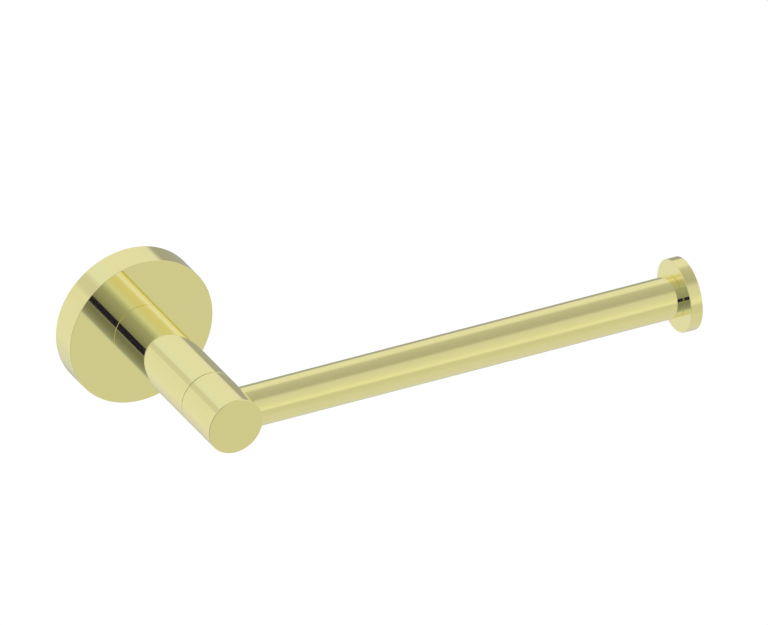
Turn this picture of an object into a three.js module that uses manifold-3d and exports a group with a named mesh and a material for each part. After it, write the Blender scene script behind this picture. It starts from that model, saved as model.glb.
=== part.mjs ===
// Single-arm toilet paper holder: a round flange on a hidden wall bracket, a post standing out of it,
// and a head at the post's tip that carries a sideways bar with a retaining disc on its free end.
//
// Millimetres. The origin is the centre of the back face, on the wall. +X runs along the bar to its
// free end, +Y into the wall and +Z up, so the holder stands out of the wall towards -Y.
// A piece turned about the post's axis is drawn with "out", its distance from the wall, and y = -out.

import * as THREE from 'three';
import { mergeVertices } from 'three/addons/utils/BufferGeometryUtils.js';
import Module from 'manifold-3d';

const wasm = await Module();
wasm.setup();

// Outer shape.
const PROJECTION = 75.2;
const FLANGE_DIAMETER = 50;
const FLANGE_THICKNESS = 10;
const POST_DIAMETER = 18.9;
const HEAD_LENGTH = 18.8;
const BAR_DIAMETER = 13.6;
const BAR_AXIS_FROM_TIP = 9.1;
const ARM_REACH = 158.35; // from the post's axis to the disc's inner face
const DISC_DIAMETER = 23.7;
const DISC_THICKNESS = 4.1;
const EDGE_BREAK = 0.3;

// Where the pieces meet.
const FACE_GAP = 0.1;
const SEAM_GAP = 0.15; // the hairline between the post and the head
const THREAD_GAP = 0.05; // radial, between a thread's outside and its hole
const SWIVEL_GAP = 0.08; // radial, between the neck stud and the head that turns on it

// Wall fixing.
const CAVITY_DIAMETER = 42;
const CAVITY_DEPTH = 6.5;
const BRACKET_DIAMETER = 41;
const BRACKET_THICKNESS = 6;
const BRACKET_RELIEF = 0.6; // the back face is hollowed so that only a rim and a centre pad touch the wall
const PAD_RADIUS = 5.5;
const BRACKET_FLOOR = 1.2;
const RECESS_RADIUS = 5.9;
const GROOVE_DEPTH = 1.2;
const GROOVE_WIDTH = 3;
const GROOVE_OUT = 4; // the locking groove's middle, and the set screw's axis
const WALL_SCREW_OFFSET = 10;
const WALL_SCREW_RADIUS = 1.75;
const WALL_SCREW_HEAD_RADIUS = 3.5;
const WALL_SCREW_HEAD_OUT = 4.6;
const WALL_SCREW_LENGTH = 20;
const PLUG_RADIUS = 2.5;
const PLUG_LENGTH = 18.6;

// Inner fasteners.
const M4 = 2;
const M5 = 2.5;
const M6 = 3;
const SET_SCREW_LENGTH = 5;
const SET_SCREW_TIP = 19.5; // its point's distance from the post's axis
const SET_SCREW_POINT_RADIUS = 1.3;
const POST_SCREW_HEAD_HEIGHT = 2.75;
const POST_SCREW_LENGTH = 20;
const WASHER_THICKNESS = 1;
const SPRING_WASHER_THICKNESS = 1.2;
const PIN_RADIUS = 1;
const PIN_OFFSET = 6;
const NECK_STUD_IN_POST = 14;
const NECK_STUD_IN_HEAD = 6;
const FRICTION_WASHER_THICKNESS = 1;
const BAR_WALL = 1.2;
const BAR_SEAT = 5.4; // the bar's inner end, from the post's axis
const INSERT_LENGTH = 12;
const BAR_STUD_IN_HEAD = 9;
const BAR_STUD_IN_BAR = 9;
const DISC_STUD_IN_BAR = 9;
const DISC_STUD_IN_DISC = 2.6;

// Facets round a turned piece.
const FINE = 48;
const SMALL = 24;

// Worked-out places.
const FLANGE_RADIUS = FLANGE_DIAMETER / 2;
const POST_RADIUS = POST_DIAMETER / 2;
const BAR_RADIUS = BAR_DIAMETER / 2;
const DISC_RADIUS = DISC_DIAMETER / 2;
const SEAM_OUT = PROJECTION - HEAD_LENGTH;
const BAR_OUT = PROJECTION - BAR_AXIS_FROM_TIP;

const gold = new THREE.MeshStandardMaterial({ color: 0xe7de9b, roughness: 0.12, metalness: 1 });
const rawBrass = new THREE.MeshStandardMaterial({ color: 0xc9ab5c, roughness: 0.4, metalness: 1 });
const steel = new THREE.MeshStandardMaterial({ color: 0xc4c6c8, roughness: 0.35, metalness: 1 });
const nylon = new THREE.MeshStandardMaterial({ color: 0xdedcd4, roughness: 0.6, metalness: 0 });
const plugNylon = new THREE.MeshStandardMaterial({ color: 0x8f9396, roughness: 0.65, metalness: 0 });

// A solid turned about the Y axis from [radius, y] corners, listed from low y round the outside to high y.
function turned(corners, segments) {
  const points = corners.map(([radius, y]) => new THREE.Vector2(radius, y));
  return new THREE.LatheGeometry(points, segments);
}

function cylinder(radius, low, high, segments = SMALL) {
  return turned([[0, low], [radius, low], [radius, high], [0, high]], segments);
}

// A rod with the same bevel at both ends.
function bevelledRod(radius, low, high, bevel, segments = SMALL) {
  return turned([
    [0, low],
    [radius - bevel, low],
    [radius, low + bevel],
    [radius, high - bevel],
    [radius - bevel, high],
    [0, high],
  ], segments);
}

function ring(inner, outer, low, high, segments = SMALL) {
  return turned([[inner, low], [outer, low], [outer, high], [inner, high], [inner, low]], segments);
}

// A hexagonal prism along Y, for sockets; its width is measured across flats.
function hexPrism(acrossFlats, low, high) {
  return cylinder(acrossFlats / Math.sqrt(3), low, high, 6);
}

function box(width, depth, height) {
  return new THREE.BoxGeometry(width, depth, height);
}

function asSolid(geometry) {
  const bare = geometry.clone();
  bare.deleteAttribute('normal');
  bare.deleteAttribute('uv');
  const merged = mergeVertices(bare, 1e-4);
  const index = merged.index.array;
  const kept = [];
  for (let i = 0; i < index.length; i += 3) {
    const [a, b, c] = [index[i], index[i + 1], index[i + 2]];
    if (a !== b && b !== c && c !== a) {
      kept.push(a, b, c);
    }
  }
  return new wasm.Manifold(new wasm.Mesh({
    numProp: 3,
    vertProperties: new Float32Array(merged.attributes.position.array),
    triVerts: new Uint32Array(kept),
  }));
}

function asGeometry(solid) {
  const { vertProperties, triVerts } = solid.getMesh();
  const geometry = new THREE.BufferGeometry();
  geometry.setAttribute('position', new THREE.BufferAttribute(vertProperties, 3));
  geometry.setIndex(new THREE.BufferAttribute(triVerts, 1));
  geometry.computeVertexNormals();
  return geometry;
}

// The body with every cutter taken out of it.
function cut(body, cutters = []) {
  let solid = asSolid(body);
  for (const cutter of cutters) {
    solid = solid.subtract(asSolid(cutter));
  }
  return asGeometry(solid);
}

// Turns a shape drawn along Y to lie along X, or along Z.
function alongX(geometry) {
  return geometry.rotateZ(-Math.PI / 2);
}

function alongZ(geometry) {
  return geometry.rotateX(Math.PI / 2);
}

function piece(name, geometry, material) {
  const mesh = new THREE.Mesh(geometry, material.clone());
  mesh.name = name;
  return mesh;
}

// Nylon plug in the wall, along Y from its mouth at y = 0: ribbed, hollow for the screw, and split at the
// far end.
function wallPlug() {
  const collar = 0.8;
  const ribs = 5;
  const ribPitch = (PLUG_LENGTH - 6) / ribs;
  const bore = WALL_SCREW_RADIUS + THREAD_GAP;
  const outline = [[bore, FACE_GAP], [PLUG_RADIUS + 0.6, FACE_GAP], [PLUG_RADIUS, FACE_GAP + collar]];
  for (let rib = 0; rib < ribs; rib += 1) {
    const start = FACE_GAP + collar + 1 + rib * ribPitch;
    outline.push([PLUG_RADIUS, start], [PLUG_RADIUS - 0.35, start + ribPitch - 0.6]);
  }
  outline.push([1.3, PLUG_LENGTH], [0, PLUG_LENGTH], [0, PLUG_LENGTH - 2.4], [bore, PLUG_LENGTH - 4.2]);
  outline.push([bore, FACE_GAP]);
  const slotLength = PLUG_LENGTH * 0.55;
  const slot = box(0.7, slotLength, 2 * PLUG_RADIUS + 2);
  slot.translate(0, PLUG_LENGTH - 1.8 - slotLength / 2, 0);
  return cut(turned(outline, SMALL), [slot]);
}

// Countersunk wall screw along Y: its head faces -Y, its point is in the wall, and it has a cross recess.
function wallScrew() {
  const top = -WALL_SCREW_HEAD_OUT;
  const headDepth = WALL_SCREW_HEAD_RADIUS - WALL_SCREW_RADIUS;
  const end = top + WALL_SCREW_LENGTH;
  const body = turned([
    [0, top],
    [WALL_SCREW_HEAD_RADIUS, top],
    [WALL_SCREW_HEAD_RADIUS, top + 0.3],
    [WALL_SCREW_RADIUS, top + 0.3 + headDepth],
    [WALL_SCREW_RADIUS, end - 3],
    [0, end],
  ], SMALL);
  const recessDepth = 1.4;
  const cross = [box(3.4, recessDepth, 0.8), box(0.8, recessDepth, 3.4)];
  cross.forEach((arm) => arm.translate(0, top + recessDepth / 2 - 0.05, 0));
  return cut(body, cross);
}

// A through hole with a countersink and a counterbore that sinks the screw's head below the bracket's face.
function countersunkHole(x, z) {
  const clearance = 0.15;
  const head = WALL_SCREW_HEAD_RADIUS + clearance;
  const shank = WALL_SCREW_RADIUS + clearance;
  const top = -WALL_SCREW_HEAD_OUT + 0.3 + clearance;
  const hole = turned([
    [0, -BRACKET_THICKNESS - 1],
    [head, -BRACKET_THICKNESS - 1],
    [head, top],
    [shank, top + head - shank],
    [shank, 1],
    [0, 1],
  ], SMALL);
  return hole.translate(x, 0, z);
}

// Round bracket that the flange slips over: a locking groove round its edge, four fixing holes, a front
// recess that clears the post screw, and a relieved back that leaves a rim and a centre pad on the wall.
function wallBracket() {
  const radius = BRACKET_DIAMETER / 2;
  const rim = radius - 1.8;
  const grooveLow = -GROOVE_OUT - GROOVE_WIDTH / 2;
  const grooveHigh = -GROOVE_OUT + GROOVE_WIDTH / 2;
  const body = turned([
    [0, -BRACKET_FLOOR],
    [RECESS_RADIUS, -BRACKET_FLOOR],
    [RECESS_RADIUS, -BRACKET_THICKNESS],
    [radius - 0.5, -BRACKET_THICKNESS],
    [radius, -BRACKET_THICKNESS + 0.4],
    [radius, grooveLow],
    [radius - GROOVE_DEPTH, grooveLow],
    [radius - GROOVE_DEPTH, grooveHigh],
    [radius, grooveHigh],
    [radius, 0],
    [rim, 0],
    [rim, -BRACKET_RELIEF],
    [PAD_RADIUS, -BRACKET_RELIEF],
    [PAD_RADIUS, 0],
    [0, 0],
  ], FINE);
  const holes = [];
  for (const side of [-1, 1]) {
    holes.push(countersunkHole(side * WALL_SCREW_OFFSET, 0));
    holes.push(countersunkHole(0, side * WALL_SCREW_OFFSET));
  }
  return cut(body, holes);
}

// Cup-shaped flange: a flat face, a short rim, a tapped hole for the set screw in the rim's lowest point,
// and holes in the face for the post screw and the locating pin.
function flange() {
  const cavity = CAVITY_DIAMETER / 2;
  const body = turned([
    [0, -FLANGE_THICKNESS],
    [FLANGE_RADIUS - EDGE_BREAK, -FLANGE_THICKNESS],
    [FLANGE_RADIUS, -FLANGE_THICKNESS + EDGE_BREAK],
    [FLANGE_RADIUS, -EDGE_BREAK],
    [FLANGE_RADIUS - EDGE_BREAK, 0],
    [cavity, 0],
    [cavity, -CAVITY_DEPTH],
    [0, -CAVITY_DEPTH],
  ], FINE);
  const screwHole = cylinder(M5 + THREAD_GAP, -FLANGE_THICKNESS - 1, -CAVITY_DEPTH + 1);
  const pinHole = cylinder(PIN_RADIUS + THREAD_GAP, -FLANGE_THICKNESS - 1, -CAVITY_DEPTH + 1);
  pinHole.translate(0, 0, PIN_OFFSET);
  const setScrewHole = alongZ(cylinder(M4 + THREAD_GAP, -FLANGE_RADIUS - 1, -cavity + 1));
  setScrewHole.translate(0, -GROOVE_OUT, 0);
  return cut(body, [screwHole, pinHole, setScrewHole]);
}

// Dog-point set screw with a hexagonal socket, drawn along Y with its point at high y.
function setScrew() {
  const tip = -SET_SCREW_TIP;
  const end = tip - SET_SCREW_LENGTH;
  const body = turned([
    [0, end],
    [M4 - 0.3, end],
    [M4, end + 0.3],
    [M4, tip - 1.5],
    [SET_SCREW_POINT_RADIUS, tip - 1.2],
    [SET_SCREW_POINT_RADIUS, tip],
    [0, tip],
  ], SMALL);
  return cut(body, [hexPrism(2, end - 1, end + 2.2)]);
}

// Button-head screw along Y that pulls the post against the flange from inside.
function postScrew() {
  const seat = -CAVITY_DEPTH + FACE_GAP / 2 + WASHER_THICKNESS + SPRING_WASHER_THICKNESS + FACE_GAP;
  const top = seat + POST_SCREW_HEAD_HEIGHT;
  const headRadius = 4.75;
  const body = turned([
    [0, seat - POST_SCREW_LENGTH],
    [M5 - 0.5, seat - POST_SCREW_LENGTH],
    [M5, seat - POST_SCREW_LENGTH + 0.5],
    [M5, seat],
    [headRadius, seat],
    [headRadius, seat + 0.5],
    [headRadius * 0.8, seat + POST_SCREW_HEAD_HEIGHT * 0.65],
    [headRadius * 0.5, top],
    [0, top],
  ], SMALL);
  return cut(body, [hexPrism(3, top - 1.6, top + 1)]);
}

function postScrewWasher() {
  const low = -CAVITY_DEPTH + FACE_GAP / 2;
  return cut(ring(M5 + 0.15, 5.4, low, low + WASHER_THICKNESS));
}

// Split ring under the post screw's head.
function postSpringWasher() {
  const low = -CAVITY_DEPTH + FACE_GAP + WASHER_THICKNESS;
  const middle = low + SPRING_WASHER_THICKNESS / 2;
  const split = box(4, 2 * SPRING_WASHER_THICKNESS, 0.8);
  split.rotateY(0.2);
  split.translate(4, middle, 0);
  return cut(ring(M5 + 0.15, 4.4, low, low + SPRING_WASHER_THICKNESS), [split]);
}

function locatingPin() {
  const pin = bevelledRod(PIN_RADIUS, -FLANGE_THICKNESS - 4, -CAVITY_DEPTH - FACE_GAP, 0.2);
  return cut(pin.translate(0, 0, PIN_OFFSET));
}

// Round post with a blind tapped hole at each end and a blind hole for the locating pin.
function post() {
  const back = -FLANGE_THICKNESS - FACE_GAP;
  const front = -SEAM_OUT + SEAM_GAP;
  const body = turned([
    [0, front],
    [POST_RADIUS - 0.1, front],
    [POST_RADIUS, front + 0.1],
    [POST_RADIUS, back],
    [0, back],
  ], FINE);
  const screwHole = cylinder(M5 + THREAD_GAP, back - 15, 0);
  const pinHole = cylinder(PIN_RADIUS + THREAD_GAP, back - 4.3, 0);
  pinHole.translate(0, 0, PIN_OFFSET);
  const neckHole = cylinder(M6 + THREAD_GAP, front - 1, front + NECK_STUD_IN_POST + 1);
  return cut(body, [screwHole, pinHole, neckHole]);
}

// Stud screwed into the post; the head turns on its free end.
function neckStud() {
  const joint = -SEAM_OUT;
  return cut(bevelledRod(M6, joint - NECK_STUD_IN_HEAD, joint + NECK_STUD_IN_POST, 0.4));
}

// Nylon washer sunk in the head's back face; it rubs on the post's end and holds the arm where it is set.
function frictionWasher() {
  const high = -SEAM_OUT - 0.02;
  return cut(ring(M6 + 0.2, 6.5, high - FRICTION_WASHER_THICKNESS, high));
}

// Head at the post's tip, with a sunk seat for the washer and the stud behind and a side socket for the bar.
function head() {
  const tip = -PROJECTION;
  const back = -SEAM_OUT;
  const body = turned([
    [0, tip],
    [POST_RADIUS - EDGE_BREAK, tip],
    [POST_RADIUS, tip + EDGE_BREAK],
    [POST_RADIUS, back - 0.1],
    [POST_RADIUS - 0.1, back],
    [0, back],
  ], FINE);
  const stud = cylinder(M6 + SWIVEL_GAP, back - NECK_STUD_IN_HEAD - 0.5, back + 1);
  const washer = cylinder(6.6, back - FRICTION_WASHER_THICKNESS - 0.12, back + 1);
  const socket = alongX(cylinder(BAR_RADIUS + THREAD_GAP, BAR_SEAT - FACE_GAP, POST_RADIUS + 1, FINE));
  const barHole = alongX(cylinder(M5 + THREAD_GAP, BAR_SEAT - BAR_STUD_IN_HEAD - 0.4, BAR_SEAT + 1));
  socket.translate(0, -BAR_OUT, 0);
  barHole.translate(0, -BAR_OUT, 0);
  return cut(body, [stud, washer, socket, barHole]);
}

// The next six pieces are drawn along Y, y being the distance from the post's axis, and then laid along X.
function bar() {
  const inner = BAR_RADIUS - BAR_WALL;
  return cut(turned([
    [inner, BAR_SEAT],
    [BAR_RADIUS - 0.2, BAR_SEAT],
    [BAR_RADIUS, BAR_SEAT + 0.2],
    [BAR_RADIUS, ARM_REACH - FACE_GAP],
    [inner, ARM_REACH - FACE_GAP],
    [inner, BAR_SEAT],
  ], FINE));
}

function barInsert(low) {
  const outer = BAR_RADIUS - BAR_WALL - THREAD_GAP;
  return cut(ring(M5 + THREAD_GAP, outer, low, low + INSERT_LENGTH, FINE));
}

function barStud() {
  return cut(bevelledRod(M5, BAR_SEAT - BAR_STUD_IN_HEAD, BAR_SEAT + BAR_STUD_IN_BAR, 0.4));
}

function discStud() {
  return cut(bevelledRod(M5, ARM_REACH - DISC_STUD_IN_BAR, ARM_REACH + DISC_STUD_IN_DISC, 0.3));
}

// Retaining disc with a blind tapped hole in its inner face.
function endDisc() {
  const outerFace = ARM_REACH + DISC_THICKNESS;
  const body = turned([
    [0, ARM_REACH],
    [DISC_RADIUS - EDGE_BREAK, ARM_REACH],
    [DISC_RADIUS, ARM_REACH + EDGE_BREAK],
    [DISC_RADIUS, outerFace - EDGE_BREAK],
    [DISC_RADIUS - EDGE_BREAK, outerFace],
    [0, outerFace],
  ], FINE);
  return cut(body, [cylinder(M5 + THREAD_GAP, ARM_REACH - 1, ARM_REACH + DISC_STUD_IN_DISC + 0.2)]);
}

function wallFixing() {
  const group = new THREE.Group();
  group.add(piece('wall_bracket', wallBracket(), rawBrass));
  for (const [name, side] of [['left', -1], ['right', 1]]) {
    const plug = piece(`wall_plug_${name}`, wallPlug(), plugNylon);
    const screw = piece(`wall_screw_${name}`, wallScrew(), steel);
    plug.position.x = side * WALL_SCREW_OFFSET;
    screw.position.x = side * WALL_SCREW_OFFSET;
    group.add(plug, screw);
  }
  return group;
}

function flangeAndPost() {
  const group = new THREE.Group();
  group.add(piece('flange', flange(), gold));
  group.add(piece('post', post(), gold));
  group.add(piece('post_locating_pin', locatingPin(), steel));
  group.add(piece('post_screw', postScrew(), steel));
  group.add(piece('post_screw_washer', postScrewWasher(), steel));
  group.add(piece('post_spring_washer', postSpringWasher(), steel));
  group.add(piece('neck_stud', neckStud(), steel));
  const lock = piece('set_screw', setScrew(), steel);
  lock.rotation.x = Math.PI / 2;
  lock.position.y = -GROOVE_OUT;
  group.add(lock);
  return group;
}

function arm() {
  const group = new THREE.Group();
  group.add(piece('head', head(), gold));
  group.add(piece('friction_washer', frictionWasher(), nylon));
  const sideways = new THREE.Group();
  sideways.rotation.z = -Math.PI / 2;
  sideways.position.y = -BAR_OUT;
  sideways.add(piece('bar', bar(), gold));
  sideways.add(piece('bar_insert_inner', barInsert(BAR_SEAT), rawBrass));
  sideways.add(piece('bar_insert_outer', barInsert(ARM_REACH - 0.5 - INSERT_LENGTH), rawBrass));
  sideways.add(piece('bar_stud', barStud(), steel));
  sideways.add(piece('disc_stud', discStud(), steel));
  sideways.add(piece('end_disc', endDisc(), gold));
  group.add(sideways);
  return group;
}

const group = new THREE.Group();
group.add(wallFixing(), flangeAndPost(), arm());

export default group;
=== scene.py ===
"""Looks of the single-arm toilet paper holder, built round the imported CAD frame.

Metres, with the frame's axes: +X along the bar, +Y into the wall, +Z up. Every turned piece is drawn
as an outline of (radius, height) corners and spun about its own axis, so its normals are exact.
"""

import math

import bmesh
import bpy
from mathutils import Matrix, Vector


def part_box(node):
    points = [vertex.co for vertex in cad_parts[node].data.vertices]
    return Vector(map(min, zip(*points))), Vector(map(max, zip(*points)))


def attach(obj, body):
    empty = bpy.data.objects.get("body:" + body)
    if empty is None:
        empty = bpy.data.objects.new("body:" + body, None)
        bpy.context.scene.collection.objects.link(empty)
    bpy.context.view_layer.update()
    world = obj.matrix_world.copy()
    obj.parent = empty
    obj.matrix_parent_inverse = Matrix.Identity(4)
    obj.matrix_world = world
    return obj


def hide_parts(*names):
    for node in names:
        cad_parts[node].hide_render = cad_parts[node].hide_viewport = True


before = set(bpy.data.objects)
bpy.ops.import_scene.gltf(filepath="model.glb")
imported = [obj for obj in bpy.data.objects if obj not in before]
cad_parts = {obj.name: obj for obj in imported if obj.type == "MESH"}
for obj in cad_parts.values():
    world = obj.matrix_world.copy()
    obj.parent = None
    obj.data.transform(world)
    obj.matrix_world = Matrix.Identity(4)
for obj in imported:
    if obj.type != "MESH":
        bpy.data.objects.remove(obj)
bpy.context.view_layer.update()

MM = 0.001

# Camera.
AZIMUTH = math.radians(-26.956)
ELEVATION = math.radians(30.748)
VIEW_WIDTH = 0.24012
OBJECT_OFFSET = (-0.00209, -0.00264)  # where the object's middle lies in the view, right and up

# Brightness of the studio against the height of the direction, -1 straight down to 1 straight up.
FRONT_LEVELS = [
    (-1.0, 0.70), (-0.7, 0.70), (-0.5, 0.67), (-0.22, 0.65), (-0.12, 0.735), (-0.02, 0.84), (0.1, 0.83),
    (0.2, 0.79), (0.34, 0.75), (0.52, 0.72), (0.7, 0.69), (0.77, 0.56), (0.83, 0.47), (1.0, 0.52),
]
BACK_LEVELS = [
    (-1.0, 0.70), (-0.76, 0.70), (-0.6, 0.74), (-0.45, 0.81), (0.1, 0.80), (0.25, 0.78), (0.45, 0.81),
    (0.7, 0.82), (0.78, 0.77), (0.84, 0.60), (0.9, 0.53), (1.0, 0.52),
]

# The studio's dim corner: its azimuth in degrees, and the share of the brightness that is left there
# against the nearness of the direction, 1 straight at it.
CORNER_AZIMUTH = -140
CORNER_LEVELS = [
    (0.44, 1.0), (0.5, 0.93), (0.6, 0.7), (0.7, 0.52), (0.8, 0.46), (0.9, 0.38), (0.95, 0.31), (1, 0.29),
]
LOW_CORNER = 0.85  # left of that below eye height

# The studio's smaller patches: two levels, and what the bright strip adds.
BAND_LEVEL = 0.40
GAP_LEVEL = 0.66
STRIP_GAIN = 0.10

# Colours of the studio's light.
WHITE = (1, 1, 1)
WARM_WHITE = (1, 1, 0.835)
CORNER_BLUE = (1, 1.12, 1.3)
PANEL_GREEN = (0.96, 1.015, 0.88)
WALL_YELLOW = (0.985, 1, 0.765)
STRIP_BLUE = (1, 1.04, 1.19)
FLAG_BLACK = (0.015, 0.013, 0.06)

# Colours of the materials, each between two shades.
GOLD = (0.945, 0.877, 0.485)
GOLD_DEEP = (0.935, 0.863, 0.465)
BRASS = (0.80, 0.62, 0.30)
BRASS_TARNISHED = (0.66, 0.49, 0.22)
STEEL_LIGHT = (0.74, 0.74, 0.75)
STEEL_DARK = (0.62, 0.62, 0.64)
NYLON_WHITE = ((0.84, 0.83, 0.79), (0.78, 0.77, 0.72))
NYLON_GREY = ((0.30, 0.31, 0.33), (0.25, 0.26, 0.28))

# Fineness of the meshes.
AROUND = 192  # facets round a large turned piece
AROUND_BRACKET = 128
AROUND_SMALL = 64
AROUND_ROD = 48  # round a screw, a stud or a pin
AROUND_COUNTERSINK = 47
AROUND_PIN_HOLE = 32
ARC_STEPS = 5  # facets across a rounded edge
THREAD_STEPS = 8  # facets along one turn of a thread
CUTTER_PHASE = 0.37  # of a facet
SHARP_ANGLE = math.radians(30)
TINY = 1e-9

# Edges of the polished pieces.
EDGE = 0.3 * MM  # the head's broken edge
FINE_EDGE = 0.16 * MM  # the flange's and the disc's
CONTACT_EDGE = 0.15 * MM  # where the post stands on the flange and the bar on the disc
SEAM_EDGE = 0.18 * MM  # the finer edges either side of the seam
FACE_SHIM = 0.08 * MM  # closes the hairline left at a face that is clamped tight

# Holes, as radii.
OVERCUT = 1 * MM  # how far a cutter runs past the face that it opens
M5_HOLE = 2.55 * MM
M6_HOLE = 3.05 * MM
SWIVEL_HOLE = 3.08 * MM  # the head turns on the neck stud
M5_WASHER_HOLE = 2.65 * MM
M6_WASHER_HOLE = 3.2 * MM
PIN_GAP = 0.05 * MM  # round the locating pin
CAVITY = 21 * MM  # inside the flange
SHANK_HOLE = 1.9 * MM  # for a wall screw
COUNTERSINK = 3.65 * MM  # for its head

# Threads.
THREAD_DEPTH = 0.6  # of the pitch
M4_PITCH = 0.7 * MM
M5_PITCH = 0.8 * MM
M6_PITCH = 1 * MM
WOOD_PITCH = 1.5 * MM

# The direction along each axis, and the two square to it that angles are counted from and towards.
AXES = {
    "X": (Vector((1, 0, 0)), Vector((0, 1, 0)), Vector((0, 0, 1))),
    "Y": (Vector((0, 1, 0)), Vector((0, 0, 1)), Vector((1, 0, 0))),
    "Z": (Vector((0, 0, 1)), Vector((1, 0, 0)), Vector((0, 1, 0))),
}


# ---------------------------------------------------------------- turned pieces

def unit(x, y):
    """The vector at length 1."""
    length = math.hypot(x, y)
    return x / length, y / length


def sides_of(corners, i):
    """Unit vectors along the stretch that comes into a corner and along the one that leaves it."""
    count = len(corners)
    r, h, _ = corners[i]
    before = corners[(i - 1) % count]
    after = corners[(i + 1) % count]
    return unit(r - before[0], h - before[1]), unit(after[0] - r, after[1] - h)


def rounded_outline(corners, closed=False):
    """Straight and arc stretches ((r, h), (r, h), normal, normal) through [(r, h, edge radius)] corners.

    The corners run from low h round the outside to high h, so the normals point out of the metal.
    """
    count = len(corners)
    spans = []
    entry = {}
    leave = {}
    for i, (r, h, radius) in enumerate(corners):
        inner = closed or 0 < i < count - 1
        if not inner or radius <= 0:
            entry[i] = leave[i] = (r, h)
            continue
        (ux, uy), (vx, vy) = sides_of(corners, i)
        turn = ux * vy - uy * vx
        half = math.atan2(abs(turn), ux * vx + uy * vy) / 2
        back = radius * math.tan(half)
        entry[i] = (r - ux * back, h - uy * back)
        leave[i] = (r + vx * back, h + vy * back)
    last = count if closed else count - 1
    for i in range(count):
        if entry[i] != leave[i]:
            spans.extend(arc_spans(entry[i], leave[i], corners, i))
        if i < last:
            j = (i + 1) % count
            (ar, ah), (br, bh) = leave[i], entry[j]
            if math.hypot(br - ar, bh - ah) > TINY:
                tx, ty = unit(br - ar, bh - ah)
                spans.append(((ar, ah), (br, bh), (ty, -tx), (ty, -tx)))
    return spans


def arc_spans(start, end, corners, i):
    """The facets of one rounded corner, with the arc's own normals at their ends."""
    radius = corners[i][2]
    (ux, uy), (vx, vy) = sides_of(corners, i)
    side = 1 if ux * vy - uy * vx > 0 else -1
    centre = (start[0] - side * uy * radius, start[1] + side * ux * radius)
    first = math.atan2(-ux, uy)
    sweep = math.atan2(ux * vy - uy * vx, ux * vx + uy * vy)
    points = []
    for k in range(ARC_STEPS + 1):
        angle = first + sweep * k / ARC_STEPS
        normal = (math.cos(angle), math.sin(angle))
        point = (centre[0] + side * radius * normal[0], centre[1] + side * radius * normal[1])
        points.append((point, normal))
    points[0] = (start, points[0][1])
    points[-1] = (end, points[-1][1])
    return [(a[0], b[0], a[1], b[1]) for a, b in zip(points, points[1:])]


def share_along(span, r, h):
    """How far along a stretch its point nearest (r, h) lies, 0 at its start and 1 at its end."""
    (ar, ah), (br, bh) = span[:2]
    dr, dh = br - ar, bh - ah
    return min(1, max(0, ((r - ar) * dr + (h - ah) * dh) / (dr * dr + dh * dh)))


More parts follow.
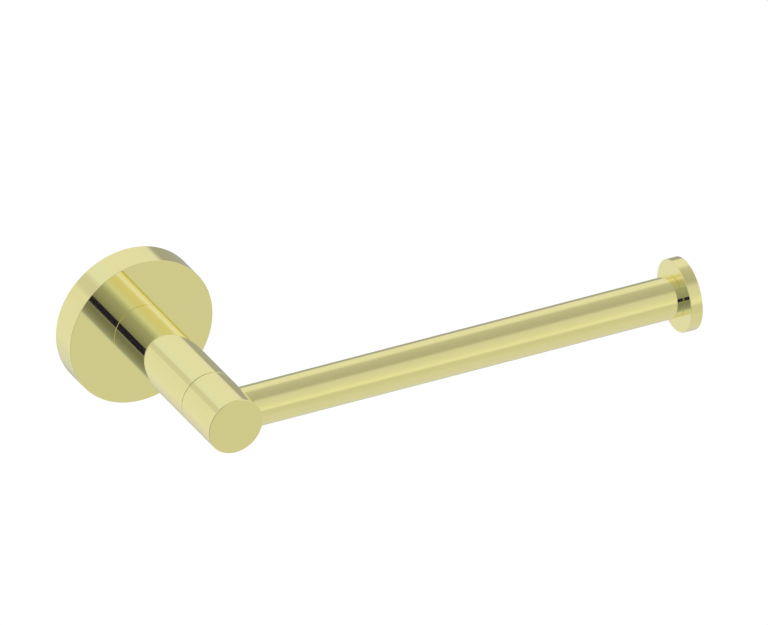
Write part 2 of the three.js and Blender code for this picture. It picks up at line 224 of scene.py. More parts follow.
class Turned:
    """A surface of revolution: its outline, its axis, and the exact normal anywhere on it.

    thread is (pitch, low h, high h): between them the outside is cut to a V thread.
    phase turns the facets by part of a step, so that a cutter's corners never lie on the body's edges.
    """

    def __init__(self, corners, axis="Y", origin=(0, 0, 0), closed=False, around=AROUND,
                 thread=None, phase=0):
        self.spans = rounded_outline(corners, closed)
        self.along, self.side, self.up = AXES[axis]
        self.origin = Vector(origin)
        self.closed = closed
        self.around = around
        self.thread = thread
        self.phase = phase

    def stations(self):
        """The outline's points, with the closely spaced ones that a thread needs."""
        points = []
        for (ar, ah), (br, bh), *_ in self.spans:
            points.append((ar, ah))
            if not self.thread:
                continue
            pitch, low, high = self.thread
            step = pitch / THREAD_STEPS
            for k in range(1, math.ceil(abs(bh - ah) / step)):
                t = k * step / abs(bh - ah)
                h = ah + (bh - ah) * t
                if low <= h <= high:
                    points.append((ar + (br - ar) * t, h))
        if not self.closed:
            points.append(self.spans[-1][1])
        return points

    def threaded_radius(self, r, h, angle):
        """The radius with the thread's groove taken off it; the groove fades out at both ends."""
        if not self.thread:
            return r
        pitch, low, high = self.thread
        fade = min(1, max(0, (h - low) / pitch), max(0, (high - h) / pitch))
        largest = max(point[0] for span in self.spans for point in span[:2] if low <= point[1] <= high)
        turn = (h / pitch - angle / math.tau) % 1
        groove = 1 - abs(2 * turn - 1)
        return r * (1 - fade * groove * THREAD_DEPTH * pitch / largest)

    def place(self, r, h, angle):
        """The point at a radius, a height and an angle about the axis."""
        out = self.side * math.cos(angle) + self.up * math.sin(angle)
        return self.origin + self.along * h + out * r

    def mesh(self, name):
        """A closed mesh, with one vertex where the outline meets the axis."""
        vertices = []
        rings = []
        for r, h in self.stations():
            if r < TINY:
                rings.append([len(vertices)] * self.around)
                vertices.append(self.place(0, h, 0))
                continue
            first = len(vertices)
            rings.append([first + k for k in range(self.around)])
            for k in range(self.around):
                angle = math.tau * (k + self.phase) / self.around
                vertices.append(self.place(self.threaded_radius(r, h, angle), h, angle))
        faces = []
        pairs = list(zip(rings, rings[1:]))
        if self.closed:
            pairs.append((rings[-1], rings[0]))
        for low, high in pairs:
            for k in range(self.around):
                n = (k + 1) % self.around
                corner = [low[k], low[n], high[n], high[k]]
                faces.append(list(dict.fromkeys(corner)))
        data = bpy.data.meshes.new(name)
        data.from_pydata(vertices, [], faces)
        data.validate()
        return data

    def flat(self, point):
        """(radius, height) of a point, and the direction from the axis to it."""
        offset = point - self.origin
        h = offset.dot(self.along)
        out = offset - self.along * h
        r = out.length
        return r, h, (out / r if r > TINY else Vector((0, 0, 0)))

    def nearest(self, point):
        """How far away the nearest stretch is, and that stretch."""
        r, h, _ = self.flat(point)
        best = None
        for span in self.spans:
            (ar, ah), (br, bh) = span[:2]
            t = share_along(span, r, h)
            gap = math.hypot(r - ar - (br - ar) * t, h - ah - (bh - ah) * t)
            if best is None or gap < best[0]:
                best = (gap, span)
        return best

    def normal(self, point, span):
        """The true normal at a point on one of the stretches."""
        r, h, out = self.flat(point)
        na, nb = span[2:]
        t = share_along(span, r, h)
        nr = na[0] + (nb[0] - na[0]) * t
        nh = na[1] + (nb[1] - na[1]) * t
        return (out * nr + self.along * nh).normalized()


def exact_normals(data, surfaces):
    """Gives every face corner the true normal of the turned surface that its face lies on."""
    normals = [None] * len(data.loops)
    for face in data.polygons:
        found = [(*surface.nearest(face.center), surface) for surface in surfaces]
        _, span, surface = min(found, key=lambda item: item[0])
        for loop in face.loop_indices:
            corner = data.vertices[data.loops[loop].vertex_index].co
            normal = surface.normal(corner, span)
            if normal.length < 0.5:
                normal = face.normal.copy()
            if normal.dot(face.normal) < 0:
                normal = -normal
            normals[loop] = normal
    data.polygons.foreach_set("use_smooth", [True] * len(data.polygons))
    data.normals_split_custom_set(normals)


def outward(data):
    """Turns every face to point out of the closed mesh."""
    work = bmesh.new()
    work.from_mesh(data)
    bmesh.ops.remove_doubles(work, verts=work.verts, dist=10 * TINY)
    bmesh.ops.recalc_face_normals(work, faces=work.faces)
    work.to_mesh(data)
    work.free()


def linked(name, data):
    """A new object in the scene."""
    piece = bpy.data.objects.new(name, data)
    bpy.context.scene.collection.objects.link(piece)
    return piece


def turned_piece(name, corners, axis="Y", origin=(0, 0, 0), closed=False, around=AROUND, cutters=()):
    """A turned piece with turned cutters taken out of it, and exact normals on all of it."""
    body = Turned(corners, axis, origin, closed, around)
    data = body.mesh(name)
    outward(data)
    piece = linked(name, data)
    for cutter in cutters:
        carve(piece, cutter.mesh("cutter"))
    exact_normals(piece.data, [body, *cutters])
    return piece


def small_piece(name, body, cutters=()):
    """A small turned or threaded piece with any closed meshes taken out of it, sharp at its real edges."""
    data = body.mesh(name)
    outward(data)
    piece = linked(name, data)
    for cutter in cutters:
        carve(piece, cutter)
    piece.data.polygons.foreach_set("use_smooth", [True] * len(piece.data.polygons))
    piece.data.set_sharp_from_angle(angle=SHARP_ANGLE)
    return piece


def carve(piece, data):
    """Takes a closed mesh out of the piece."""
    outward(data)
    tool = linked("cutter", data)
    boolean = piece.modifiers.new("carve", "BOOLEAN")
    boolean.operation = "DIFFERENCE"
    boolean.solver = "EXACT"
    boolean.object = tool
    graph = bpy.context.evaluated_depsgraph_get()
    carved = bpy.data.meshes.new_from_object(piece.evaluated_get(graph))
    piece.modifiers.clear()
    old = piece.data
    carved.name = piece.name
    piece.data = carved
    bpy.data.meshes.remove(old)
    bpy.data.objects.remove(tool)
    bpy.data.meshes.remove(data)


def rod(radius, low, high, origin=(0, 0, 0), axis="Y", around=AROUND_SMALL):
    """A plain cylinder, for holes."""
    corners = [(0, low, 0), (radius, low, 0), (radius, high, 0), (0, high, 0)]
    return Turned(corners, axis, origin, around=around, phase=CUTTER_PHASE)


def block(centre, size, taper=1.0):
    """A closed box mesh; its low-Y end is full size and its high-Y end is smaller by the taper."""
    corners = []
    for y, share in ((-0.5, 1.0), (0.5, taper)):
        for x, z in ((-0.5, -0.5), (0.5, -0.5), (0.5, 0.5), (-0.5, 0.5)):
            offset = Vector((x * size[0] * share, y * size[1], z * size[2] * share))
            corners.append(Vector(centre) + offset)
    faces = [(0, 1, 2, 3), (4, 5, 6, 7), (0, 1, 5, 4), (1, 2, 6, 5), (2, 3, 7, 6), (3, 0, 4, 7)]
    data = bpy.data.meshes.new("cutter")
    data.from_pydata(corners, [], faces)
    return data


def hex_socket(across_flats, low, high, origin=(0, 0, 0), axis="Y"):
    """The closed mesh that cuts a hexagon socket."""
    corner = across_flats / math.sqrt(3)
    return rod(corner, low, high, origin, axis, around=6).mesh("cutter")


def finish_piece(piece, body, material, node):
    """Gives a piece its material, hangs it on the body that carries it and hides the CAD node that it
    stands for.
    """
    piece.data.materials.clear()
    piece.data.materials.append(material)
    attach(piece, body)
    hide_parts(node)


# ---------------------------------------------------------------- node helpers

def put(tree, socket, value):
    """Links a socket to another node's output, or sets it to a number or a colour."""
    if isinstance(value, bpy.types.NodeSocket):
        tree.links.new(value, socket)
    elif isinstance(value, tuple):
        socket.default_value = (*value, 1)
    else:
        socket.default_value = value


def math_node(tree, operation, a, b=0.0, c=0.0):
    """One arithmetic step on numbers or sockets."""
    node = tree.nodes.new("ShaderNodeMath")
    node.operation = operation
    for socket, value in zip(node.inputs, (a, b, c)):
        put(tree, socket, value)
    return node.outputs[0]


def ease(tree, value, start, end):
    """0 on the start's side, 1 on the end's side, smooth between."""
    node = tree.nodes.new("ShaderNodeMapRange")
    node.interpolation_type = "SMOOTHSTEP"
    tree.links.new(value, node.inputs["Value"])
    node.inputs["From Min"].default_value = min(start, end)
    node.inputs["From Max"].default_value = max(start, end)
    node.inputs["To Min"].default_value = 0 if start < end else 1
    node.inputs["To Max"].default_value = 1 if start < end else 0
    return node.outputs["Result"]


def ramp(tree, value, stops):
    """A grey ramp through (position, level) stops."""
    node = tree.nodes.new("ShaderNodeValToRGB")
    elements = node.color_ramp.elements
    while len(elements) > 1:
        elements.remove(elements[-1])
    for i, (position, level) in enumerate(stops):
        element = elements[0] if i == 0 else elements.new(position)
        element.position = position
        element.color = (level, level, level, 1)
    tree.links.new(value, node.inputs["Fac"])
    return node.outputs["Color"]


def mix(tree, factor, a, b):
    """A value that goes from a to b as the factor goes from 0 to 1."""
    node = tree.nodes.new("ShaderNodeMix")
    node.data_type = "FLOAT"
    for name, value in (("Factor", factor), ("A", a), ("B", b)):
        put(tree, node.inputs[name], value)
    return node.outputs["Result"]


# ---------------------------------------------------------------- camera and studio

def make_camera():
    """A parallel view from the front left, looking down at the holder."""
    back = Vector((
        math.sin(AZIMUTH) * math.cos(ELEVATION),
        -math.cos(AZIMUTH) * math.cos(ELEVATION),
        math.sin(ELEVATION),
    ))
    data = bpy.data.cameras.new("camera")
    data.type = "ORTHO"
    data.ortho_scale = VIEW_WIDTH
    data.clip_start = 0.01
    data.clip_end = 20
    camera = linked("camera", data)
    right = Vector((math.cos(AZIMUTH), math.sin(AZIMUTH), 0))
    up = back.cross(right)
    aim = visible_middle() - right * OBJECT_OFFSET[0] - up * OBJECT_OFFSET[1]
    camera.location = aim + back
    camera.rotation_mode = "QUATERNION"
    camera.rotation_quaternion = (-back).to_track_quat("-Z", "Y")
    bpy.context.scene.camera = camera


def visible_middle():
    """The middle of the part in front of the wall."""
    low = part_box("flange")[0]
    head_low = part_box("head")[0]
    disc_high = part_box("end_disc")[1]
    return Vector(((low.x + disc_high.x) / 2, head_low.y / 2, 0))


def towards(tree, direction, azimuth, elevation):
    """How nearly the direction points at an azimuth and elevation: 1 straight at them, 0 square to them."""
    a, e = math.radians(azimuth), math.radians(elevation)
    node = tree.nodes.new("ShaderNodeVectorMath")
    node.operation = "DOT_PRODUCT"
    tree.links.new(direction, node.inputs[0])
    node.inputs[1].default_value = (math.cos(a) * math.cos(e), math.sin(a) * math.cos(e), math.sin(e))
    return node.outputs["Value"]


def spot(tree, direction, azimuth, elevation, core, edge):
    """1 within core degrees of a direction, 0 beyond edge degrees."""
    near = towards(tree, direction, azimuth, elevation)
    return ease(tree, near, math.cos(math.radians(edge)), math.cos(math.radians(core)))


def between(tree, value, low, low_full, high_full, high):
    """1 from low_full to high_full, falling to 0 at low and high."""
    return math_node(tree, "SUBTRACT", ease(tree, value, low, low_full), ease(tree, value, high_full, high))


def product(tree, *values):
    """All the values multiplied together."""
    result = values[0]
    for value in values[1:]:
        result = math_node(tree, "MULTIPLY", result, value)
    return result


def tinted(tree, factor, a, b):
    """A colour that goes from a to b as the factor goes from 0 to 1."""
    node = tree.nodes.new("ShaderNodeMix")
    node.data_type = "RGBA"
    colour_a, colour_b = [socket for socket in node.inputs if socket.type == "RGBA"]
    tree.links.new(factor, node.inputs["Factor"])
    put(tree, colour_a, a)
    put(tree, colour_b, b)
    return next(socket for socket in node.outputs if socket.type == "RGBA")


def make_world():
    """Studio round the holder: lit walls, a grey ceiling, and a dim corner behind the camera on the left.

    Azimuths are in degrees from +X towards +Y, and x, y and z are those of the direction.
    """
    world = bpy.data.worlds.new("studio")
    bpy.context.scene.world = world
    world.use_nodes = True
    tree = world.node_tree
    tree.nodes.clear()
    place = tree.nodes.new("ShaderNodeTexCoord")
    direction = place.outputs["Generated"]
    split = tree.nodes.new("ShaderNodeSeparateXYZ")
    tree.links.new(direction, split.inputs[0])
    x, y, z = split.outputs
    height = math_node(tree, "MULTIPLY_ADD", z, 0.5, 0.5)
    front = ramp(tree, height, [(at / 2 + 0.5, level) for at, level in FRONT_LEVELS])
    back = ramp(tree, height, [(at / 2 + 0.5, level) for at, level in BACK_LEVELS])
    level = mix(tree, ease(tree, y, -0.12, 0.12), front, back)

    # Bright strip at eye height on the right, in front.
    strip = spot(tree, direction, azimuth=-52, elevation=14, core=2, edge=10)
    level = math_node(tree, "ADD", level, product(tree, strip, STRIP_GAIN))

    # Dark band low on the right, behind the holder.
    low_down = between(tree, z, -0.95, -0.45, 0.16, 0.29)
    band = product(tree, ease(tree, x, -0.2, 0.4), low_down, ease(tree, y, 0.1, 0.4))
    level = mix(tree, band, level, BAND_LEVEL)

    # Gap between two light panels on the left, behind the holder.
    gap = spot(tree, direction, azimuth=120, elevation=27, core=1, edge=10)
    level = mix(tree, gap, level, GAP_LEVEL)

    # Dim corner on the left, behind the camera, that ends at the lit wall on the far left.
    wall = product(tree, ease(tree, y, -0.74, -0.45), ease(tree, x, -0.45, -0.6))
    corner = mix(tree, wall, towards(tree, direction, CORNER_AZIMUTH, 0), 0.0)
    dim = ramp(tree, corner, CORNER_LEVELS)
    low_corner = product(tree, ease(tree, corner, 0.4, 0.6), ease(tree, z, -0.1, -0.35))
    level = product(tree, level, dim, mix(tree, low_corner, 1.0, LOW_CORNER))

    # Two black flags stand in the corner at eye height.
    columns = math_node(tree, "MAXIMUM",
                        between(tree, y, -0.80, -0.79, -0.74, -0.73),
                        between(tree, x, -0.43, -0.42, -0.36, -0.35))
    eye_height = between(tree, z, -0.095, -0.085, 0.19, 0.2)
    flags = product(tree, eye_height, ease(tree, corner, 0.84, 0.88), columns)

    # Colour casts: warm light everywhere but in the corner, and three patches of their own.
    panel_edge = spot(tree, direction, azimuth=107, elevation=37, core=4, edge=12)
    right_wall = spot(tree, direction, azimuth=-67, elevation=-8, core=22, edge=42)
    strip_glow = spot(tree, direction, azimuth=-52, elevation=15, core=3, edge=12)
    colour = tinted(tree, ease(tree, corner, 0.2, 0.56), WARM_WHITE, CORNER_BLUE)
    colour = tinted(tree, panel_edge, colour, PANEL_GREEN)
    colour = tinted(tree, right_wall, colour, WALL_YELLOW)
    colour = tinted(tree, strip_glow, colour, STRIP_BLUE)
    scale = tree.nodes.new("ShaderNodeVectorMath")
    scale.operation = "SCALE"
    tree.links.new(colour, scale.inputs[0])
    tree.links.new(level, scale.inputs["Scale"])
    flagged = tinted(tree, flags, scale.outputs[0], FLAG_BLACK)

    # Seen directly, the background is plain white.
    path = tree.nodes.new("ShaderNodeLightPath")
    seen = tinted(tree, path.outputs["Is Camera Ray"], flagged, WHITE)
    light = tree.nodes.new("ShaderNodeBackground")
    tree.links.new(seen, light.inputs["Color"])
    out = tree.nodes.new("ShaderNodeOutputWorld")
    tree.links.new(light.outputs[0], out.inputs["Surface"])


def make_floor():
    """Plain pale floor well below the holder, which neither lights it nor shows in it."""
    size = 4.0
    drop = 0.6
    brightness = 1.02
    data = bpy.data.meshes.new("floor")
    corners = [(-size, -size, -drop), (size, -size, -drop), (size, size, -drop), (-size, size, -drop)]
    data.from_pydata(corners, [], [(0, 1, 2, 3)])
    floor = linked("floor", data)
    material = bpy.data.materials.new("floor_white")
    material.use_nodes = True
    tree = material.node_tree
    tree.nodes.clear()
    glow = tree.nodes.new("ShaderNodeEmission")
    glow.inputs["Color"].default_value = (1, 1, 1, 1)
    glow.inputs["Strength"].default_value = brightness
    out = tree.nodes.new("ShaderNodeOutputMaterial")
    tree.links.new(glow.outputs[0], out.inputs["Surface"])
    data.materials.append(material)
    floor.visible_glossy = False
    floor.visible_diffuse = False


# ---------------------------------------------------------------- materials

def blank_material(name, metallic, roughness):
    """A new material, its node tree and its shader."""
    material = bpy.data.materials.new(name)
    material.use_nodes = True
    tree = material.node_tree
    shader = tree.nodes["Principled BSDF"]
    shader.inputs["Metallic"].default_value = metallic
    shader.inputs["Roughness"].default_value = roughness
    return material, tree, shader


def grain(tree, size, detail=2.0, stretch=(1, 1, 1)):
    """A 0 to 1 noise over the piece with features about that many metres across."""
    place = tree.nodes.new("ShaderNodeTexCoord")
    scale = tree.nodes.new("ShaderNodeVectorMath")
    scale.operation = "MULTIPLY"
    tree.links.new(place.outputs["Object"], scale.inputs[0])
    scale.inputs[1].default_value = stretch
    noise = tree.nodes.new("ShaderNodeTexNoise")
    noise.inputs["Scale"].default_value = 1 / size
    noise.inputs["Detail"].default_value = detail
    tree.links.new(scale.outputs[0], noise.inputs["Vector"])
    return noise.outputs["Fac"]


def relief(tree, shader, height, depth):
    """Bumps the shader's surface by a 0 to 1 height that is depth metres tall."""
    bump = tree.nodes.new("ShaderNodeBump")
    bump.inputs["Strength"].default_value = 1.0
    bump.inputs["Distance"].default_value = depth
    tree.links.new(height, bump.inputs["Height"])
    tree.links.new(bump.outputs["Normal"], shader.inputs["Normal"])


def from_to(tree, value, low, high):
    """A 0 to 1 value spread from low to high."""
    return math_node(tree, "MULTIPLY_ADD", value, high - low, low)


def gold_material():
    """Polished gold plate of two close shades under a thin clear coat, with faint haze from buffing."""
    material, tree, shader = blank_material("polished_gold", 1, 0.06)
    shader.inputs["Coat Weight"].default_value = 0.7
    shader.inputs["Coat Roughness"].default_value = 0.03
    plate = grain(tree, 15 * MM)
    tree.links.new(tinted(tree, plate, GOLD_DEEP, GOLD), shader.inputs["Base Color"])
    haze = math_node(tree, "MULTIPLY", grain(tree, 6 * MM), grain(tree, 0.5 * MM, 3))
    tree.links.new(from_to(tree, haze, 0.045, 0.085), shader.inputs["Roughness"])
    return material


def brass_material():
    """Bare machined brass: fine turning rings round the holder's axis and a slightly uneven tarnish."""
    material, tree, shader = blank_material("raw_brass", 1, 0.35)
    place = tree.nodes.new("ShaderNodeTexCoord")
    wave = tree.nodes.new("ShaderNodeTexWave")
    wave.wave_type = "RINGS"
    wave.rings_direction = "Y"
    wave.inputs["Scale"].default_value = 1 / (4 * MM)
    wave.inputs["Distortion"].default_value = 0.6
    wave.inputs["Detail"].default_value = 2
    tree.links.new(place.outputs["Object"], wave.inputs["Vector"])
    relief(tree, shader, wave.outputs["Fac"], 0.004 * MM)
    tarnish = grain(tree, 5 * MM, 4)
    patches = tinted(tree, ease(tree, tarnish, 0.35, 0.7), BRASS, BRASS_TARNISHED)
    tree.links.new(patches, shader.inputs["Base Color"])
    tree.links.new(from_to(tree, tarnish, 0.24, 0.44), shader.inputs["Roughness"])
    return material


def steel_material():
    """Stainless fasteners: satin, with drawn scratches a few hundredths of a millimetre wide."""
    material, tree, shader = blank_material("stainless_steel", 1, 0.3)
    scratches = grain(tree, 0.12 * MM, 3, (1, 0.15, 1))
    cloud = grain(tree, 2 * MM, 2)
    tree.links.new(tinted(tree, cloud, STEEL_LIGHT, STEEL_DARK), shader.inputs["Base Color"])
    tree.links.new(from_to(tree, scratches, 0.18, 0.42), shader.inputs["Roughness"])
    relief(tree, shader, scratches, 0.002 * MM)
    return material


def nylon_material(name, pale, dark):
    """Moulded nylon: a soft satin skin with a fine mould texture."""
    material, tree, shader = blank_material(name, 0, 0.5)
    shader.inputs["Subsurface Weight"].default_value = 0.15
    shader.inputs["Subsurface Scale"].default_value = 1 * MM
    skin = grain(tree, 0.2 * MM, 4)
    tree.links.new(tinted(tree, grain(tree, 3 * MM), pale, dark), shader.inputs["Base Color"])
    tree.links.new(from_to(tree, skin, 0.4, 0.62), shader.inputs["Roughness"])
    relief(tree, shader, skin, 0.003 * MM)
    return material


# ---------------------------------------------------------------- pieces

def round_node(node, axis):
    """(low, high, radius, a point on the axis) of a round CAD node that runs along X, Y or Z."""
    low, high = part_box(node)
    i = "XYZ".index(axis)
    j = (i + 1) % 3
    point = (low + high) / 2
    radius = (high[j] - low[j]) / 2
    start, end = low[i], high[i]
    point[i] = 0
    return start, end, radius, point


def pin_hole(low, high):
    """The cutter for the locating pin's hole."""
    _, _, radius, axis = round_node("post_locating_pin", "Y")
    return rod(radius + PIN_GAP, low, high, axis, around=AROUND_PIN_HOLE)


def set_screw_hole(rim):
    """The cutter for the set screw's hole, which opens out a little at the flange's rim."""
    _, _, radius, axis = round_node("set_screw", "Z")
    bore = radius + 0.06 * MM
    mouth = radius + 0.9 * MM
    outside = -rim - 0.5 * MM
    inside = -CAVITY + OVERCUT
    corners = [
        (0, outside, 0),
        (mouth, outside, 0),
        (bore, -rim + 0.3 * MM, 0),
        (bore, inside, 0),
        (0, inside, 0),
    ]
    return Turned(corners, "Z", axis, around=AROUND_SMALL, phase=CUTTER_PHASE)


def flange_piece(gold):
    """Cup-shaped cover, with holes for the post screw, the locating pin and the set screw."""
    low, high, radius, _ = round_node("flange", "Y")
    face = high - 6.5 * MM
    corners = [
        (0, low, 0),
        (radius, low, FINE_EDGE),
        (radius, high, 0.25 * MM),
        (CAVITY, high, 0.2 * MM),
        (CAVITY, face, 0.4 * MM),
        (0, face, 0),
    ]
    holes = [
        rod(M5_HOLE, low - OVERCUT, face + OVERCUT),
        pin_hole(low - OVERCUT, face + OVERCUT),
        set_screw_hole(radius),
    ]
    piece = turned_piece("flange_cover", corners, cutters=holes)
    finish_piece(piece, "mount", gold, "flange")


def post_piece(gold):
    """Round post, with blind holes for its screw and pin behind and for the neck stud in front."""
    low, high, radius, _ = round_node("post", "Y")
    back = high + FACE_SHIM
    screw_depth = 15 * MM
    pin_depth = 4.3 * MM
    stud_depth = 15 * MM
    corners = [(0, low, 0), (radius, low, SEAM_EDGE), (radius, back, CONTACT_EDGE), (0, back, 0)]
    holes = [
        rod(M5_HOLE, high - screw_depth, high + OVERCUT),
        pin_hole(high - pin_depth, high + OVERCUT),
        rod(M6_HOLE, low - OVERCUT, low + stud_depth),
    ]
    piece = turned_piece("post_tube", corners, cutters=holes)
    finish_piece(piece, "mount", gold, "post")


def head_piece(gold):
    """Head, with a sunk washer seat and stud hole behind and the bar's socket and stud hole in its side."""
    low, high, radius, _ = round_node("head", "Y")
    bar_start, _, bar_radius, bar_axis = round_node("bar", "X")
    bar_stud_start = round_node("bar_stud", "X")[0]
    bar_socket = bar_radius + 0.04 * MM
    outside = 12 * MM
    stud_depth = 6.5 * MM
    washer_seat = 6.6 * MM
    washer_depth = 1.12 * MM
    corners = [(0, low, 0), (radius, low, EDGE), (radius, high, SEAM_EDGE), (0, high, 0)]
    holes = [
        rod(bar_socket, bar_start - 0.1 * MM, outside, bar_axis, "X", around=AROUND),
        rod(M5_HOLE, bar_stud_start - 0.4 * MM, bar_start + OVERCUT, bar_axis, "X"),
        rod(SWIVEL_HOLE, high - stud_depth, high + OVERCUT),
        rod(washer_seat, high - washer_depth, high + OVERCUT),
    ]
    piece = turned_piece("post_head", corners, cutters=holes)
    finish_piece(piece, "arm", gold, "head")


def bar_piece(gold):
    """Tubular bar, let into the head at one end and closed by the disc at the other."""
    low, high, radius, axis = round_node("bar", "X")
    wall = 1.2 * MM
    inner = radius - wall
    end = high + FACE_SHIM
    corners = [(inner, low, 0), (radius, low, 0.2 * MM), (radius, end, CONTACT_EDGE), (inner, end, 0)]
    piece = turned_piece("roll_bar", corners, "X", axis, closed=True)
    finish_piece(piece, "arm", gold, "bar")


def disc_piece(gold):
    """Retaining disc, with a blind hole for its stud."""
    low, high, radius, axis = round_node("end_disc", "X")
    stud_end = round_node("disc_stud", "X")[1]
    corners = [(0, low, 0), (radius, low, FINE_EDGE), (radius, high, FINE_EDGE), (0, high, 0)]
    holes = [rod(M5_HOLE, low - OVERCUT, stud_end + 0.2 * MM, axis, "X")]
    piece = turned_piece("retaining_disc", corners, "X", axis, cutters=holes)
    finish_piece(piece, "arm", gold, "end_disc")


def countersunk_hole(x, z, low, cone, high):
    """The cutter for a screw hole through the bracket from low to high, with its conical seat at cone."""
    corners = [
        (0, low - OVERCUT, 0),
        (COUNTERSINK, low - OVERCUT, 0),
        (COUNTERSINK, cone, 0),
        (SHANK_HOLE, cone + COUNTERSINK - SHANK_HOLE, 0),
        (SHANK_HOLE, high + OVERCUT, 0),
        (0, high + OVERCUT, 0),
    ]
    return Turned(corners, "Y", (x, 0, z), around=AROUND_COUNTERSINK, phase=CUTTER_PHASE)


def bracket_piece(brass):
    """Wall bracket: front recess, locking groove, relieved back and four countersunk holes."""
    low, high, radius, _ = round_node("wall_bracket", "Y")
    recess = 5.9 * MM
    recess_floor = high - 1.2 * MM
    groove = round_node("set_screw", "Z")[3].y
    groove_low = groove - 1.5 * MM
    groove_high = groove + 1.5 * MM
    groove_bottom = radius - 1.2 * MM
    rim = radius - 1.8 * MM
    pad = 5.5 * MM
    relieved = high - 0.6 * MM
    corners = [
        (0, recess_floor, 0),
        (recess, recess_floor, 0.3 * MM),
        (recess, low, 0.2 * MM),
        (radius, low, 0.4 * MM),
        (radius, groove_low, 0.15 * MM),
        (groove_bottom, groove_low, 0.3 * MM),
        (groove_bottom, groove_high, 0.3 * MM),
        (radius, groove_high, 0.15 * MM),
        (radius, high, 0.2 * MM),
        (rim, high, 0.15 * MM),
        (rim, relieved, 0.2 * MM),
        (pad, relieved, 0.2 * MM),
        (pad, high, 0.15 * MM),
        (0, high, 0),
    ]
    screw_start, _, _, screw_axis = round_node("wall_screw_right", "Y")
    cone = screw_start + 0.45 * MM
    offset = screw_axis.x
    places = [(offset, 0), (-offset, 0), (0, offset), (0, -offset)]
    holes = [countersunk_hole(x, z, low, cone, high) for x, z in places]
    piece = turned_piece("bracket_plate", corners, around=AROUND_BRACKET, cutters=holes)
    finish_piece(piece, "mount", brass, "wall_bracket")


def plug_piece(side, nylon):
    """Ribbed wall plug, hollow for its screw and slotted lengthways so that it can spread."""
    node = f"wall_plug_{side}"
    low, high, collar, axis = round_node(node, "Y")
    bore = 1.8 * MM
    outside = collar - 0.6 * MM
    bottom = high - 2.4 * MM
    tip = 1.3 * MM
    corners = [
        (0, bottom, 0),
        (bore, bottom - bore, 0),
        (bore, low, 0.1 * MM),
        (collar, low, 0.15 * MM),
        (outside, low + 0.8 * MM, 0.15 * MM),
    ]
    ribs = 5
    ribs_start = low + 1.8 * MM
    rib_depth = 0.35 * MM
    step = 0.6 * MM
    pitch = (high - low - 6 * MM) / ribs
    for rib in range(ribs):
        start = ribs_start + rib * pitch
        corners.append((outside, start, 0.12 * MM))
        corners.append((outside - rib_depth, start + pitch - step, 0.08 * MM))
    corners += [(tip, high, 0.3 * MM), (0, high, 0)]
    body = Turned(corners, "Y", axis, around=AROUND_SMALL)
    slot_end = high - 1.8 * MM
    slot_length = (high - low) * 0.55
    slot = block(axis + Vector((0, slot_end - slot_length / 2, 0)), (0.7 * MM, slot_length, 8 * MM))
    piece = small_piece(f"nylon_plug_{side}", body, [slot])
    finish_piece(piece, "mount", nylon, node)


def wall_screw_piece(side, steel):
    """Countersunk wood screw with a cross recess."""
    node = f"wall_screw_{side}"
    low, high, head, axis = round_node(node, "Y")
    shank = head / 2
    cone = low + 0.3 * MM
    point = 3 * MM
    corners = [
        (0, low, 0),
        (head, low, 0.08 * MM),
        (head, cone, 0.08 * MM),
        (shank, cone + head - shank, 0.3 * MM),
        (shank, high - point, 0),
        (0, high, 0),
    ]
    thread = (WOOD_PITCH, low + 6 * MM, high + WOOD_PITCH)
    body = Turned(corners, "Y", axis, around=AROUND_ROD, thread=thread)
    length = 3.4 * MM
    width = 0.8 * MM
    depth = 1.4 * MM
    taper = 0.55
    middle = axis + Vector((0, low + depth / 2 - 0.02 * MM, 0))
    cross = [block(middle, (length, depth, width), taper), block(middle, (width, depth, length), taper)]
    piece = small_piece(f"fixing_screw_{side}", body, cross)
    finish_piece(piece, "mount", steel, node)


def set_screw_piece(steel):
    """Dog-point set screw, its hexagon socket at the bottom."""
    low, high, radius, axis = round_node("set_screw", "Z")
    chamfer = 0.3 * MM
    dog = 1.3 * MM
    dog_start = high - 1.2 * MM
    corners = [
        (0, low, 0),
        (radius - chamfer, low, 0),
        (radius, low + chamfer, 0),
        (radius, dog_start - chamfer, 0),
        (dog, dog_start, 0.1 * MM),
        (dog, high, 0.15 * MM),
        (0, high, 0),
    ]
    thread = (M4_PITCH, low - M4_PITCH, high - 1 * MM)
    body = Turned(corners, "Z", axis, around=AROUND_ROD, thread=thread)
    socket = hex_socket(2 * MM, low - OVERCUT, low + 2.2 * MM, axis, "Z")
    piece = small_piece("socket_set_screw", body, [socket])
    finish_piece(piece, "lock", steel, "set_screw")


def post_screw_piece(steel):
    """Button-head socket screw that clamps the post from inside the flange."""
    low, high, head, axis = round_node("post_screw", "Y")
    seat = high - 2.75 * MM
    shank = 2.5 * MM
    chamfer = 0.5 * MM
    corners = [
        (0, low, 0),
        (shank - chamfer, low, 0),
        (shank, low + chamfer, 0),
        (shank, seat, 0),
        (head, seat, 0.1 * MM),
        (head, seat + 0.5 * MM, 0.3 * MM),
        (head * 0.8, seat + 1.8 * MM, 1.5 * MM),
        (head * 0.5, high, 0.6 * MM),
        (0, high, 0),
    ]
    thread = (M5_PITCH, low - M5_PITCH, seat - 1 * MM)
    body = Turned(corners, "Y", axis, around=AROUND_ROD, thread=thread)
    socket = hex_socket(3 * MM, high - 1.6 * MM, high + OVERCUT, axis)
    piece = small_piece("post_clamp_screw", body, [socket])
    finish_piece(piece, "mount", steel, "post_screw")


def ring_piece(name, node, axis_name, bore, edge=0.1 * MM, cutters=()):
    """A washer, or a tubular insert."""
    low, high, radius, axis = round_node(node, axis_name)
    corners = [(bore, low, edge), (radius, low, edge), (radius, high, edge), (bore, high, edge)]
    body = Turned(corners, axis_name, axis, closed=True, around=AROUND_SMALL)
    return small_piece(name, body, cutters)


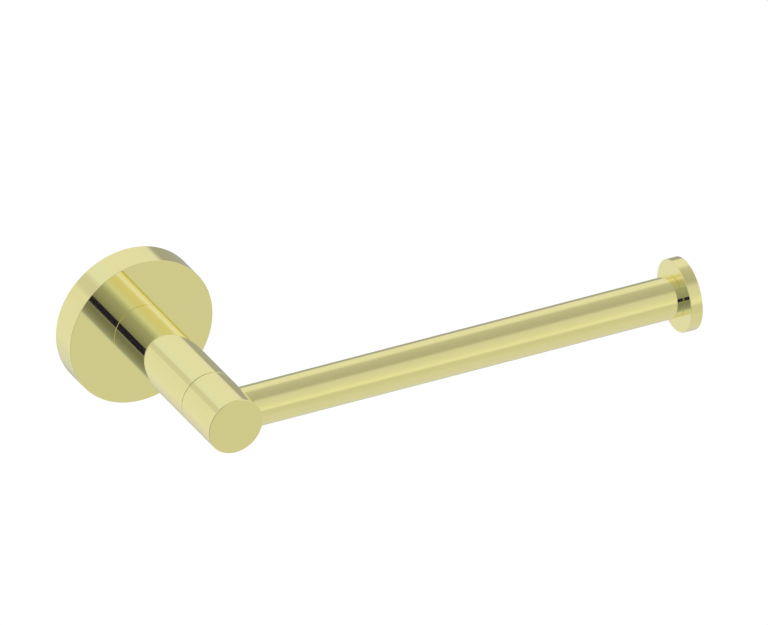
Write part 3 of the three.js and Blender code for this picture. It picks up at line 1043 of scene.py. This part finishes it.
def clamp_washers(steel):
    """Flat washer and split spring washer under the post screw's head."""
    flat = ring_piece("flat_washer", "post_screw_washer", "Y", M5_WASHER_HOLE)
    finish_piece(flat, "mount", steel, "post_screw_washer")

    low, high, _, _ = round_node("post_spring_washer", "Y")
    split = block((4 * MM, (low + high) / 2, 0), (4 * MM, 3 * MM, 0.6 * MM))
    split.transform(Matrix.Rotation(0.2, 4, "Y"))
    spring = ring_piece("split_washer", "post_spring_washer", "Y", M5_WASHER_HOLE, cutters=[split])
    finish_piece(spring, "mount", steel, "post_spring_washer")


def friction_washer_piece(white):
    """Nylon washer round the neck stud, sunk in the head."""
    piece = ring_piece("nylon_washer", "friction_washer", "Y", M6_WASHER_HOLE)
    finish_piece(piece, "arm", white, "friction_washer")


def stud_piece(name, node, chamfer, steel):
    """An M5 rod along the arm, threaded from end to end, with chamfered ends."""
    low, high, radius, axis = round_node(node, "X")
    corners = [
        (0, low, 0),
        (radius - chamfer, low, 0),
        (radius, low + chamfer, 0),
        (radius, high - chamfer, 0),
        (radius - chamfer, high, 0),
        (0, high, 0),
    ]
    thread = (M5_PITCH, low - M5_PITCH, high + M5_PITCH)
    piece = small_piece(name, Turned(corners, "X", axis, around=AROUND_ROD, thread=thread))
    finish_piece(piece, "arm", steel, node)


def swivel_stud_piece(steel):
    """Neck stud: threaded where it is screwed into the post, plain where the head turns on it."""
    low, high, radius, axis = round_node("neck_stud", "Y")
    seam = round_node("post", "Y")[0]
    chamfer = 0.4 * MM
    corners = [
        (0, low, 0),
        (radius, low, 0.3 * MM),
        (radius, high - chamfer, 0),
        (radius - chamfer, high, 0),
        (0, high, 0),
    ]
    thread = (M6_PITCH, seam + 0.5 * MM, high + M6_PITCH)
    body = Turned(corners, "Y", axis, around=AROUND_ROD, thread=thread)
    piece = small_piece("swivel_stud", body)
    finish_piece(piece, "mount", steel, "neck_stud")


def pin_piece(steel):
    """Plain locating pin with rounded ends."""
    low, high, radius, axis = round_node("post_locating_pin", "Y")
    end = 0.2 * MM
    corners = [(0, low, 0), (radius, low, end), (radius, high, end), (0, high, 0)]
    piece = small_piece("dowel_pin", Turned(corners, "Y", axis, around=AROUND_ROD))
    finish_piece(piece, "mount", steel, "post_locating_pin")


def view_transform():
    """Shows the light as it is, with no film look over it."""
    scene = bpy.context.scene
    scene.view_settings.view_transform = "Standard"
    scene.view_settings.look = "None"
    scene.view_settings.exposure = 0
    scene.view_settings.gamma = 1


def fixings(brass, steel, white, grey):
    """Everything behind or inside the polished pieces."""
    bracket_piece(brass)
    for side in ("left", "right"):
        plug_piece(side, grey)
        wall_screw_piece(side, steel)
    set_screw_piece(steel)
    post_screw_piece(steel)
    pin_piece(steel)
    clamp_washers(steel)
    swivel_stud_piece(steel)
    friction_washer_piece(white)
    stud_piece("bar_fixing_stud", "bar_stud", 0.4 * MM, steel)
    stud_piece("disc_fixing_stud", "disc_stud", 0.3 * MM, steel)
    for place in ("inner", "outer"):
        piece = ring_piece(f"bar_bush_{place}", f"bar_insert_{place}", "X", M5_HOLE, 0.3 * MM)
        finish_piece(piece, "arm", brass, f"bar_insert_{place}")


make_camera()
make_world()
make_floor()
view_transform()
gold = gold_material()
flange_piece(gold)
post_piece(gold)
head_piece(gold)
bar_piece(gold)
disc_piece(gold)
fixings(
    brass_material(),
    steel_material(),
    nylon_material("white_nylon", *NYLON_WHITE),
    nylon_material("grey_nylon", *NYLON_GREY),
)
